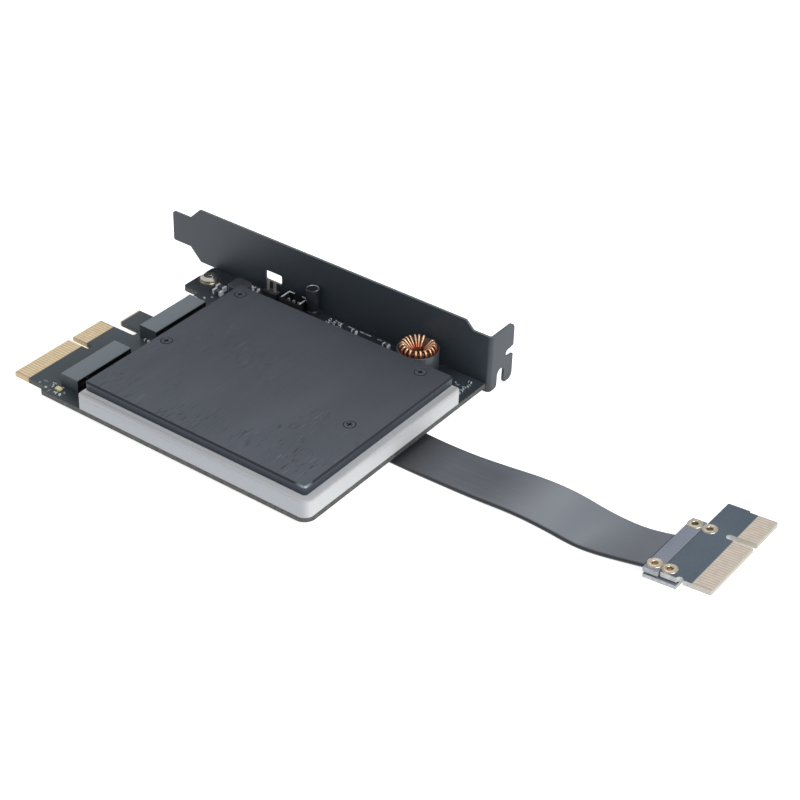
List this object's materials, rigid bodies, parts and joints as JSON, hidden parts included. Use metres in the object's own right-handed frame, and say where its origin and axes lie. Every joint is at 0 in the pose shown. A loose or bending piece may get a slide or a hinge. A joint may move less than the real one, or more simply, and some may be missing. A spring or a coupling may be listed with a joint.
{
  "type": "dual drive adapter card",
  "caption": "Expansion card with a brushed heatsink plate over its drive bays, a lit plastic edge, a full-height bracket, and a flat cable to a small edge board.",
  "frame": {"origin": "middle of the card edge's key notch on the line of the contact tips, at the board's upper surface", "axes": "+X away from the bracket, +Y from the contact tips towards the bracket's flange, +Z out of the component side"},
  "size_m": [0.0935, 0.2165, 0.0214],
  "materials": {
    "circuit_board": "satin solder mask",
    "contact_gold": "polished plating",
    "bracket_coat": "satin black plating",
    "screw_steel": "bright",
    "plate_finish": "brushed and anodised black",
    "post_metal": "turned",
    "guide_plastic": "frosted translucent",
    "light_chip": "clear gel",
    "pad_rubber": "soft matt",
    "socket_plastic": "moulded",
    "tin": "tinned",
    "case_plastic": "smoky",
    "core_ferrite": "coated",
    "copper_wire": "enamelled copper",
    "can_metal": "bright",
    "pale_plastic": "moulded",
    "coil_block": "matt moulded",
    "chip_epoxy": "matt moulded",
    "small_ceramic": "fired",
    "amber_light": "tinted lens",
    "cable_jacket": "satin woven tape",
    "bar_board": "satin solder mask",
    "eyelet_metal": "nickel plated brass"
  },
  "bodies": {
    "root": {"board_bar": "bar_board", "bracket": "bracket_coat", "bracket_screws": "screw_steel", "can_base": "socket_plastic", "capacitor_can": "can_metal", "choke_case": "case_plastic", "choke_core": "core_ferrite", "choke_winding": "copper_wire", "connector_pins": "tin", "drive_screws": "screw_steel", "drive_socket_far": "socket_plastic", "drive_socket_near": "socket_plastic", "drive_standoffs": "post_metal", "edge_contacts": "contact_gold", "edge_lights": "light_chip", "end_bar": "bar_board", "end_board": "circuit_board", "end_contacts": "contact_gold", "eyelets": "eyelet_metal", "flat_cable": "cable_jacket", "header_base": "socket_plastic", "header_pins": "tin", "heatsink_plate": "plate_finish", "joining_plate": "bar_board", "light_connector": "pale_plastic", "light_guide": "guide_plastic", "main_board": "circuit_board", "plate_posts": "post_metal", "plate_screws": "screw_steel", "regulator_chip": "chip_epoxy", "regulator_leads": "tin", "shielded_coil": "coil_block", "small_part_bodies": "small_ceramic", "small_part_ends": "tin", "socket_leads_far": "tin", "socket_leads_near": "tin", "solder_joints": "tin", "status_light": "amber_light", "thermal_pad_far": "pad_rubber", "thermal_pad_near": "pad_rubber"}
  },
  "joints": []
}
